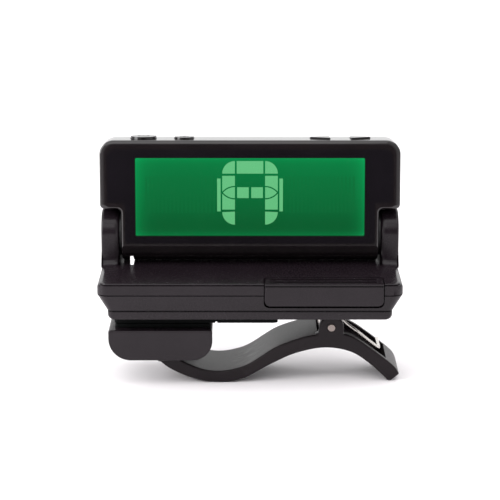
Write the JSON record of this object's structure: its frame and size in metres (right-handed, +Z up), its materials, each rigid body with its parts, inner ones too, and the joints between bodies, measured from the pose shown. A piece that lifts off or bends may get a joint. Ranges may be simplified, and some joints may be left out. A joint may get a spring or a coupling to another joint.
{
  "type": "clip-on instrument tuner",
  "caption": "Clip-on instrument tuner: a sprung clip with padded jaws under a flat base, and a tilting head with a green display, top buttons and a coin cell drawer.",
  "frame": {"origin": "middle of the footprint at the lowest point, where the closed clip lever rests on a table", "axes": "+X to the right along the display, +Y to the back, +Z up; the display faces -Y"},
  "size_m": [0.0632, 0.0254, 0.0498],
  "materials": {
    "case_plastic": "fine satin texture",
    "button_plastic": "satin",
    "window_gloss": "polished, black printed border",
    "lcd_green": "lit green liquid crystal cell",
    "backlight_diffuser": "milky light guide",
    "jaw_rubber": "matt, soft",
    "contact_rubber": "striped conductive rubber",
    "pin_steel": "satin",
    "screw_steel": "dark plated",
    "spring_steel": "drawn wire",
    "cell_steel": "nickel plated",
    "contact_steel": "nickel plated leaf",
    "piezo_brass": "brushed",
    "circuit_board": "green solder mask",
    "chip_black": "moulded epoxy",
    "cable_jacket": "thin jacket",
    "washer_acetal": "black, smooth"
  },
  "bodies": {
    "base": {"base_upper_shell": "case_plastic", "base_lower_shell": "case_plastic", "bottom_plate": "case_plastic", "upper_jaw_pad": "jaw_rubber", "negative_battery_contact": "contact_steel", "positive_battery_contact": "contact_steel", "piezo_pickup_disc": "piezo_brass", "base_circuit_board": "circuit_board", "pickup_amplifier_chip": "chip_black", "base_screw_1": "screw_steel", "base_screw_2": "screw_steel", "base_screw_3": "screw_steel", "base_screw_4": "screw_steel", "right_hinge_pin": "pin_steel", "left_hinge_bush": "pin_steel", "left_friction_washer": "washer_acetal", "right_friction_washer": "washer_acetal", "signal_cable_base_run": "cable_jacket", "pivot_pin": "pin_steel", "clip_spring": "spring_steel"},
    "head": {"head_front_case": "case_plastic", "head_rear_case": "case_plastic", "display_window": "window_gloss", "lcd_panel": "lcd_green", "backlight_panel": "backlight_diffuser", "contact_strip": "contact_rubber", "head_circuit_board": "circuit_board", "tuner_processor_chip": "chip_black", "power_switch": "chip_black", "mode_switch": "chip_black", "left_arrow_switch": "chip_black", "right_arrow_switch": "chip_black", "head_screw_1": "screw_steel", "head_screw_2": "screw_steel", "head_screw_3": "screw_steel", "head_screw_4": "screw_steel", "signal_cable_head_run": "cable_jacket"},
    "power_button": {"power_button": "button_plastic"},
    "mode_button": {"mode_button": "button_plastic"},
    "left_arrow_button": {"left_arrow_button": "button_plastic"},
    "right_arrow_button": {"right_arrow_button": "button_plastic"},
    "lever": {"clip_lever": "case_plastic", "shoe_pin": "pin_steel"},
    "shoe": {"jaw_shoe": "case_plastic", "lower_jaw_pad": "jaw_rubber"},
    "drawer": {"battery_tray": "case_plastic", "coin_cell": "cell_steel"}
  },
  "joints": [
    {"name": "head_tilt", "type": "hinge", "parent": "base", "child": "head", "pos_m": [0, 0.0078, 0.0288], "axis": [1, 0, 0], "range_deg": [-40, 95]},
    {"name": "clip_jaw", "type": "hinge", "parent": "base", "child": "lever", "pos_m": [0.017, 0, 0.01175], "axis": [0, -1, 0], "range_deg": [0, 35], "stiffness_Nm_per_rad": 0.16, "springref_deg": -34.38, "deforming": ["clip_spring"]},
    {"name": "jaw_shoe_swivel", "type": "hinge", "parent": "lever", "child": "shoe", "pos_m": [-0.0185, 0, 0.0079], "axis": [0, -1, 0], "range_deg": [-16, 0]},
    {"name": "power_press", "type": "slide", "parent": "head", "child": "power_button", "axis": [0, -0.0958, -0.9954], "range_m": [0, 0.0004], "stiffness_N_per_m": 1500},
    {"name": "mode_press", "type": "slide", "parent": "head", "child": "mode_button", "axis": [0, -0.0958, -0.9954], "range_m": [0, 0.0003], "stiffness_N_per_m": 1500},
    {"name": "left_arrow_press", "type": "slide", "parent": "head", "child": "left_arrow_button", "axis": [0, -0.0958, -0.9954], "range_m": [0, 0.0003], "stiffness_N_per_m": 1500},
    {"name": "right_arrow_press", "type": "slide", "parent": "head", "child": "right_arrow_button", "axis": [0, -0.0958, -0.9954], "range_m": [0, 0.0003], "stiffness_N_per_m": 1500},
    {"name": "battery_tray_slide", "type": "slide", "parent": "base", "child": "drawer", "axis": [0, -1, 0], "range_m": [0, 0.022]}
  ],
  "couplings": [
    {"joint": "jaw_shoe_swivel", "follows": "clip_jaw", "ratio": -0.45}
  ]
}
